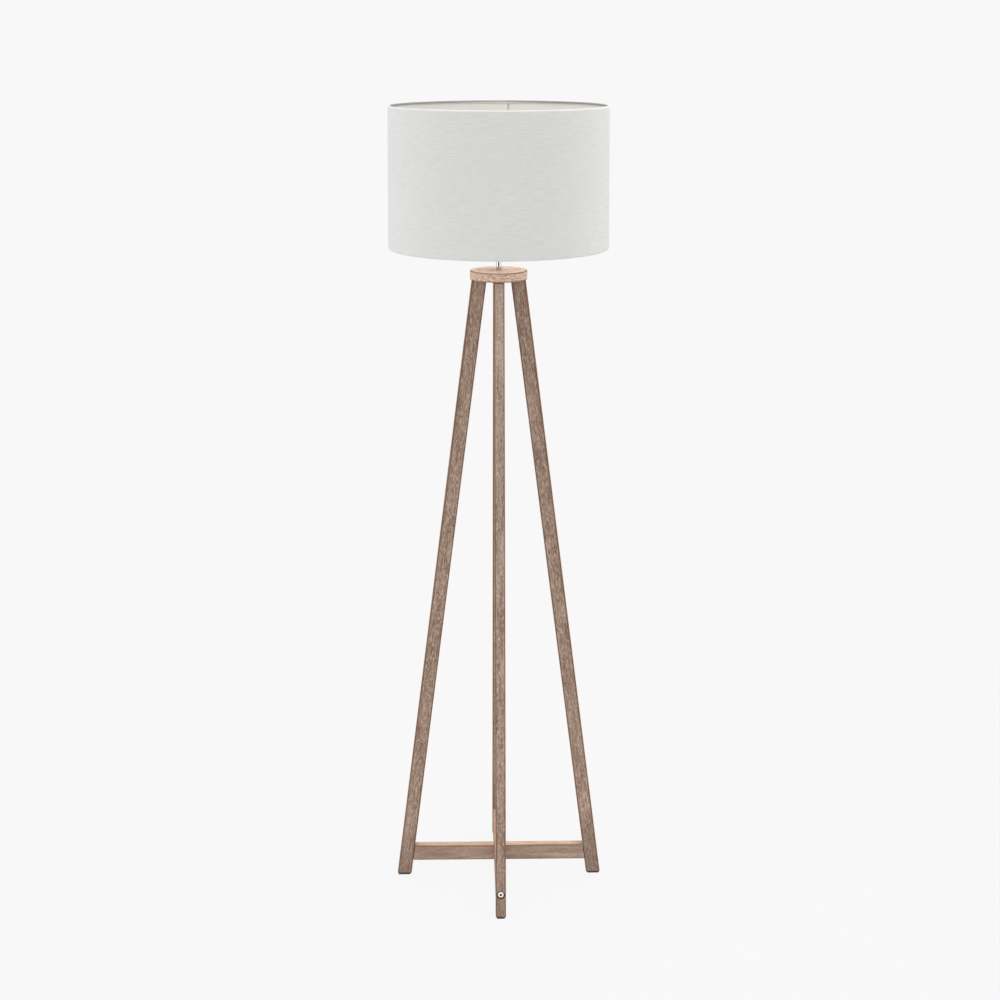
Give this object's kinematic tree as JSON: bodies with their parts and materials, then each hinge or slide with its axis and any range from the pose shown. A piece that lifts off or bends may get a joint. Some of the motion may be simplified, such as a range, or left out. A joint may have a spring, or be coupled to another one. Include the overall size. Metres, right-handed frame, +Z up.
{
  "type": "floor lamp",
  "caption": "Wooden floor lamp: splayed square-set legs joined by a round top disc and a crossed low rail, chrome stem, and a drum shade in light grey fabric.",
  "frame": {"origin": "on the floor, midway between the feet, under the shade's axis", "axes": "+Z up, -Y towards the front leg, +X towards the right leg seen from the front"},
  "size_m": [0.4104, 0.4104, 1.5258],
  "materials": {
    "grey_wood": "grey-brown washed, matt",
    "tan_wood": "pinkish tan washed, matt",
    "felt": "pressed felt",
    "zinc_steel": "zinc plated",
    "chrome": "polished",
    "black_plastic": "moulded",
    "white_plastic": "moulded",
    "porcelain": "unglazed",
    "brass": "plain",
    "opal_glass": "opal",
    "nickel": "nickel plated",
    "white_wire": "white powder coat",
    "liner_sheet": "translucent sheet",
    "grey_linen": "plain weave linen"
  },
  "bodies": {
    "frame": {"leg_right": "grey_wood", "pad_right": "felt", "bolt_right": "zinc_steel", "barrel_nut_right": "zinc_steel", "leg_screw_right": "zinc_steel", "leg_back": "grey_wood", "pad_back": "felt", "bolt_back": "zinc_steel", "barrel_nut_back": "zinc_steel", "leg_screw_back": "zinc_steel", "leg_left": "grey_wood", "pad_left": "felt", "bolt_left": "zinc_steel", "barrel_nut_left": "zinc_steel", "leg_screw_left": "zinc_steel", "leg_front": "grey_wood", "pad_front": "felt", "bolt_front": "zinc_steel", "barrel_nut_front": "zinc_steel", "leg_screw_front": "zinc_steel", "stretcher_left_right": "grey_wood", "stretcher_front_back": "grey_wood", "top_disc": "tan_wood", "stem_nipple": "zinc_steel", "stem_sleeve": "chrome", "disc_washer": "zinc_steel", "disc_nut": "zinc_steel", "cord_bush": "black_plastic", "holder_cap": "white_plastic", "holder_skirt": "white_plastic", "holder_insert": "porcelain", "contact_centre": "brass", "contact_side": "brass", "shade_ring_lower": "white_plastic", "shade_ring_upper": "white_plastic"},
    "shade": {"shade_fabric": "grey_linen", "shade_liner": "liner_sheet", "shade_wire_top": "white_wire", "shade_wire_bottom": "white_wire", "fitter_ring": "white_wire", "spider_arm_1": "white_wire", "spider_arm_2": "white_wire", "spider_arm_3": "white_wire"},
    "switch": {"switch_bar": "black_plastic"},
    "bulb_base": {"bulb_tip": "nickel", "bulb_insulator": "black_plastic"},
    "bulb": {"bulb_glass": "opal_glass", "bulb_cap": "nickel"}
  },
  "joints": [
    {"name": "shade_turn", "type": "hinge", "parent": "frame", "child": "shade", "pos_m": [0, 0, 1.29], "axis": [0, 0, 1], "continuous": true},
    {"name": "switch_press", "type": "slide", "parent": "frame", "child": "switch", "axis": [0, 1, 0], "range_m": [0, 0.005]},
    {"name": "bulb_rise", "type": "slide", "parent": "frame", "child": "bulb_base", "axis": [0, 0, 1], "range_m": [0, 0.01453]},
    {"name": "bulb_turn", "type": "hinge", "parent": "bulb_base", "child": "bulb", "pos_m": [0, 0, 1.3], "axis": [0, 0, 1], "range_deg": [0, 1440]}
  ],
  "couplings": [
    {"joint": "bulb_rise", "follows": "bulb_turn", "m_per_rad": 0.00057757}
  ]
}
